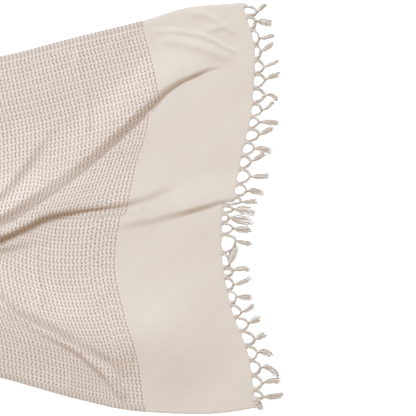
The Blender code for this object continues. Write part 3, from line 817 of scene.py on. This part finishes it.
class Graph:
    """A material's nodes, written as sums and products of sockets and numbers."""

    def __init__(self, name):
        self.material = bpy.data.materials.new(name)
        self.material.use_nodes = True
        self.nodes = self.material.node_tree.nodes
        self.shader = self.nodes["Principled BSDF"]

    def node(self, kind, inputs, **settings):
        made = self.nodes.new(kind)
        for key, value in settings.items():
            setattr(made, key, value)
        fill(made, inputs)
        return made.outputs

    def place(self, name):
        """A UV map as a vector, and its two parts."""
        vector = self.node("ShaderNodeUVMap", {}, uv_map=name)["UV"]
        parts = self.node("ShaderNodeSeparateXYZ", {0: vector})
        return vector, parts["X"], parts["Y"]

    def math(self, operation, *values):
        return self.node("ShaderNodeMath", dict(enumerate(values)), operation=operation)[0]

    plus = functools.partialmethod(math, "ADD")
    minus = functools.partialmethod(math, "SUBTRACT")
    times = functools.partialmethod(math, "MULTIPLY")
    over = functools.partialmethod(math, "DIVIDE")

    def total(self, *terms):
        """The sum of some (value, weight) terms."""
        return functools.reduce(self.plus, [self.times(*term) for term in terms])

    def at_least(self, least, value):
        """A value from 0 to 1, moved up to lie between that least one and 1."""
        return self.plus(self.times(value, 1.0 - least), least)

    def step(self, value, low, high):
        """0 below low, 1 above high, and smooth between them. Swapped ends turn it round."""
        flip = low > high
        ends = {"From Min": min(low, high), "From Max": max(low, high)}
        ends.update({"To Min": float(flip), "To Max": float(not flip), "Value": value})
        return self.node("ShaderNodeMapRange", ends, interpolation_type="SMOOTHSTEP")["Result"]

    def mix(self, share, first, second):
        inputs = {"Factor": share, "A": first, "B": second}
        return self.node("ShaderNodeMix", inputs, data_type="RGBA")["Result"]

    def noise(self, vector, scale, detail, roughness):
        inputs = {"Vector": vector, "Scale": scale, "Detail": detail, "Roughness": roughness}
        return self.node("ShaderNodeTexNoise", inputs)["Fac"]

    def stray(self, noise, most):
        """A noise as a shift of up to half that much either way."""
        return self.times(self.minus(noise, 0.5), most)

    def finish(self, colour, relief, roughness, specular):
        """The looks of cotton on the shader, with its relief in millimetres."""
        bump = self.node("ShaderNodeBump", {"Height": relief, "Distance": MM, "Strength": 1.0})
        fill(self.shader, {
            "Base Color": colour,
            "Normal": bump["Normal"],
            "Roughness": roughness,
            "Sheen Weight": SHEEN,
            "Sheen Roughness": SHEEN_ROUGHNESS,
            "Specular IOR Level": specular,
        })
        return self.material


def linear(*colour):
    """An 8-bit sRGB colour, no part of it near black, as the linear colour of materials."""
    return (*[((value / 255 + 0.055) / 1.055) ** 2.4 for value in colour], 1.0)


# Colours of the yarns, before light and shade, but for FRINGE_SHADE, which is also painted shade.
CREAM = linear(227, 218, 208)
GROUND = linear(233, 222, 213)
TAUPE = linear(186, 164, 151)
TAUPE_DARK = linear(160, 133, 119)
SELVEDGE_TAUPE = linear(198, 186, 178)
SELVEDGE_CREAM = linear(225, 214, 206)
FRINGE = linear(242, 232, 221)
# the darkest yarn colour, from the shade between yarns: it goes to darker strands at random and is painted
# shade at knots and on tassels' upper sides
FRINGE_SHADE = linear(198, 184, 174)

PLAIN_END = 245.0  # the plain border at each end of the towel
BORDER_STRAY = 1.2  # how unevenly it ends
BORDER_SOFT = 9.0  # the weave's relief starts over twice this width
SELVEDGE = 15.0
SELVEDGE_SOFT = 1.0
COLUMN = 9.4  # from one column of chevrons to the next, along the towel
COLUMN_STRAY = 2.2  # how far the columns stray from their lines
CHEVRON = 17.4  # from one chevron to the next, across it
CHEVRON_DEPTH = 4.0  # how far back the point of a chevron lies
STROKE = 1.55  # half the width of its strokes
STROKE_SOFT = 0.55
STROKE_STRAY = 3.2
STROKE_START = (0.02, 0.32)  # of the way to the chevron's ends, where strokes fade in
STROKE_END = (0.86, 0.66)  # and out
STROKE_POINT = 0.3  # their strength at the point of the chevron
STROKE_GAP = 0.1  # and between two chevrons
STROKE_DARKER = (0.35, 0.75)  # where they turn darker
STROKE_DARK_END = 0.5  # by how much, of all the way to the dark taupe
STROKE_TONES = 0.6  # and how much one stroke may differ from another
BAND_SOFT = 0.7  # edges of the selvedge's stripes
TWILL = 2.6 * math.sqrt(2)  # across, from one line of the plain end's twill to the next
DIAMOND_EDGE = (0.42, 0.58)

# Noises: blotches to a metre, finer detail, and how rough it is.
BORDER_NOISE = (260.0, 2.0, 0.5)
COLUMN_NOISE = (95.0, 1.0, 0.5)
STROKE_NOISE = (420.0, 0.0, 0.5)
DIAMOND_NOISE = (70.0, 1.0, 0.5)
PATCH_NOISE = (9.0, 3.0, 0.6)
NAP_NOISE = (620.0, 3.0, 0.65)
GRAIN_NOISE = (210.0, 1.0, 0.5)
FUZZ_NOISE = (900.0, 3.0, 0.7)

# How much each darkens the cloth, from LIGHTEST down, and how high it stands.
LIGHTEST = 1.125
PATCH_SHADE, NAP_SHADE, RIB_SHADE, GRAIN_SHADE = 0.055, 0.13, 0.04, 0.07
FLOAT_RELIEF, RIB_RELIEF, NAP_RELIEF = 0.45, 0.1, 0.22
PLY = 3.6  # length of one turn of a yarn's two plies
PLY_SHADE, FUZZ_SHADE = 0.03, 0.16
PLY_RELIEF, FUZZ_RELIEF = 0.18, 0.3
YARN_TONES = (0.72, 1.02)  # of the fringe's darkest and lightest colour
SHEEN = 0.25
SHEEN_ROUGHNESS = 0.6


def cloth_material():
    """The weave, worked out from the distances across and along the cloth."""
    g = Graph("woven cotton")
    place, *parts = g.place("Weave")
    across, along = [g.times(part, 1 / MM) for part in parts]
    from_end = g.math("MINIMUM", along, g.minus(LENGTH, along))
    from_side = g.math("MINIMUM", across, g.minus(WIDTH, across))
    wander = g.times(g.noise(place, *BORDER_NOISE), BORDER_STRAY)
    body = g.step(g.plus(from_end, wander), PLAIN_END, PLAIN_END + BORDER_STRAY)
    raised = g.step(from_end, PLAIN_END - BORDER_SOFT, PLAIN_END + BORDER_SOFT)
    inside = g.step(from_side, SELVEDGE - SELVEDGE_SOFT, SELVEDGE + SELVEDGE_SOFT)

    # the chevrons
    place_across = g.over(across, CHEVRON)
    open_end = g.math("ABSOLUTE", g.minus(g.times(g.math("FRACT", place_across), 2.0), 1.0))
    point = g.times(g.minus(1.0, open_end), CHEVRON_DEPTH)
    loose = g.stray(g.noise(place, *COLUMN_NOISE), COLUMN_STRAY)
    jitter = g.stray(g.noise(place, *STROKE_NOISE), STROKE_STRAY)
    shifted = g.minus(g.minus(along, point), g.plus(loose, jitter))
    bent = g.over(g.times(shifted, inside), COLUMN)
    straight = g.over(g.times(along, g.minus(1.0, inside)), COLUMN)
    column = g.plus(bent, straight)
    off = g.times(g.math("ABSOLUTE", g.minus(g.math("FRACT", column), 0.5)), COLUMN)
    stroke = g.step(off, STROKE + STROKE_SOFT, STROKE - STROKE_SOFT)
    ends = g.at_least(STROKE_GAP, g.step(open_end, *STROKE_END))
    elbow = g.at_least(STROKE_POINT, g.step(open_end, *STROKE_START))
    stroke = g.times(stroke, g.times(ends, elbow))

    # each stroke has a tone of its own, and is darkest at its ends
    cell = [g.math("FLOOR", g.times(place_across, 2.0)), g.math("FLOOR", column)]
    cell = g.node("ShaderNodeCombineXYZ", dict(enumerate(cell)))[0]
    tone = g.node("ShaderNodeTexWhiteNoise", {"Vector": cell}, noise_dimensions="2D")["Value"]
    dark_end = g.step(open_end, *STROKE_DARKER)
    darkness = g.total((dark_end, STROKE_DARK_END), (tone, STROKE_TONES))
    taupe = g.mix(g.math("MINIMUM", darkness, 1.0), TAUPE, TAUPE_DARK)
    woven = g.mix(stroke, GROUND, taupe)

    # the selvedges: the same columns, straight and paler
    band = g.step(off, COLUMN / 4 + BAND_SOFT, COLUMN / 4 - BAND_SOFT)
    selvedge = g.mix(band, SELVEDGE_CREAM, SELVEDGE_TAUPE)
    woven = g.mix(inside, selvedge, woven)

    # the plain ends: two directions of fine twill that cross in soft diamonds
    ways = g.plus(across, along), g.minus(across, along)
    twill = [g.math("SINE", g.times(way, 2 * math.pi / TWILL)) for way in ways]
    diamond = g.step(g.noise(place, *DIAMOND_NOISE), *DIAMOND_EDGE)
    rib = g.total((twill[0], diamond), (twill[1], g.minus(1.0, diamond)))
    colour = g.mix(body, CREAM, woven)

    # uneven dyeing, the grain of the weave and the nap of the yarns
    patches = g.noise(place, *PATCH_NOISE)
    nap = g.noise(place, *NAP_NOISE)
    grain = g.noise(place, *GRAIN_NOISE)
    shades = (patches, PATCH_SHADE), (nap, NAP_SHADE), (rib, RIB_SHADE), (grain, GRAIN_SHADE)
    shade = g.total(*shades)
    tint = {0: colour, "Scale": g.minus(LIGHTEST, shade)}
    tinted = g.node("ShaderNodeVectorMath", tint, operation="SCALE")[0]

    # relief: cream floats stand up between the strokes, and twill and nap are low
    floats = g.times(g.minus(1.0, g.times(stroke, body)), raised)
    relief = g.total((floats, FLOAT_RELIEF), (rib, RIB_RELIEF), (nap, NAP_RELIEF))
    return g.finish(tinted, relief, roughness=0.92, specular=0.2)


def yarn_material():
    """Plied cotton yarn, with the tone that its mesh gives each strand, painted shade included."""
    g = Graph("cotton yarn")
    _, turn, walked = g.place("Yarn")
    turns = g.plus(turn, g.over(walked, PLY))
    ply = g.math("SINE", g.times(turns, 4 * math.pi))
    # each strand's tone: random, and lower at knots and on tassels' upper sides as painted shade
    tone = g.node("ShaderNodeAttribute", {}, attribute_name="tone")["Fac"]
    fuzz = g.noise(g.node("ShaderNodeTexCoord", {})["Object"], *FUZZ_NOISE)
    shade = g.plus(g.plus(tone, g.times(ply, PLY_SHADE)), g.stray(fuzz, FUZZ_SHADE))
    colour = g.mix(g.step(shade, *YARN_TONES), FRINGE_SHADE, FRINGE)
    relief = g.total((ply, PLY_RELIEF), (fuzz, FUZZ_RELIEF))
    return g.finish(colour, relief, roughness=0.95, specular=0.15)


# Metres, but for VIEW_BACK. The photograph is 416 px square, 2.34 mm a pixel.
VIEW = 0.9734
VIEW_BACK = 86.6  # how far back its middle lies, in millimetres
CAMERA_HEIGHT = 7.0
SENSOR = 36.0

KEY_SIZE = 8.0
KEY_POWER = 5970.0
KEY_COLOUR = (0.707, 0.85, 1.0)
KEY_DIRECTION = (-0.5, 0.87, 0.8)
KEY_DISTANCE = 24.0
WORLD_LOOKS = {"Color": (1.0, 0.8, 0.61, 1.0), "Strength": 0.52}

FLOOR_HALF = 15
FLOOR_DROP = 0.0002  # below the towel's underside
FLOOR_LOOKS = {
    "Base Color": (0.9, 0.9, 0.9, 1.0),
    "Roughness": 0.9,
    "Emission Color": (0.78, 0.9, 1.0, 1.0),
    "Emission Strength": 0.72,
}


def add_camera():
    """The camera, straight above. Gives the point of the surface under it."""
    camera = bpy.data.cameras.new("camera")
    camera.sensor_width = SENSOR
    camera.lens = SENSOR * CAMERA_HEIGHT / VIEW
    camera.clip_end = 100.0
    holder = add_object("camera", camera)
    holder.location = ((CORNER_X - VIEW_BACK) * MM, CENTRE_Y * MM, CAMERA_HEIGHT)
    bpy.context.scene.camera = holder
    return Vector((holder.location.x, holder.location.y, 0.0))


def add_key_light(target):
    """A square soft light that shines on the target from a direction."""
    light = bpy.data.lights.new("key light", "AREA")
    light.shape = "SQUARE"
    light.size = KEY_SIZE
    light.energy = KEY_POWER
    light.color = KEY_COLOUR
    holder = add_object("key light", light)
    way = Vector(KEY_DIRECTION).normalized()
    holder.location = target + way * KEY_DISTANCE
    holder.rotation_mode = "QUATERNION"
    holder.rotation_quaternion = way.to_track_quat("Z", "Y")
    holder.visible_camera = False


def add_floor():
    g = Graph("floor")
    fill(g.shader, FLOOR_LOOKS)
    corners = [(FLOOR_HALF * x, FLOOR_HALF * y, 0) for x, y in ((-1, -1), (1, -1), (1, 1), (-1, 1))]
    floor = show(mesh_of("floor", corners, [(0, 1, 2, 3)]), g.material)
    floor.location.z = -FLOOR_DROP


def add_world():
    world = bpy.data.worlds.new("studio")
    world.use_nodes = True
    fill(world.node_tree.nodes["Background"], WORLD_LOOKS)
    bpy.context.scene.world = world


def main():
    target = add_camera()
    near, far = near_knots(), far_knots()
    near_roots, far_roots = root_places(0.0, near), root_places(LENGTH, far)
    cloth = build_cloth(near_roots, far_roots, cloth_material())
    yarn = yarn_material()
    fringes = [
        build_fringe("fringe_of_near_end", 0.0, 1.0, near, near_roots, yarn),
        build_fringe("fringe_of_far_end", LENGTH, -1.0, far, far_roots, yarn),
    ]
    for piece, node, slot in zip(
        [cloth, *fringes],
        ["towel_cloth", "fringe_near", "fringe_far"],
        ["woven_cloth", "fringe_yarn", "fringe_yarn"],
    ):
        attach(piece, "root")
        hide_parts(node)

    add_floor()
    add_world()
    add_key_light(target)
    bpy.context.scene.view_settings.view_transform = "Standard"


main()
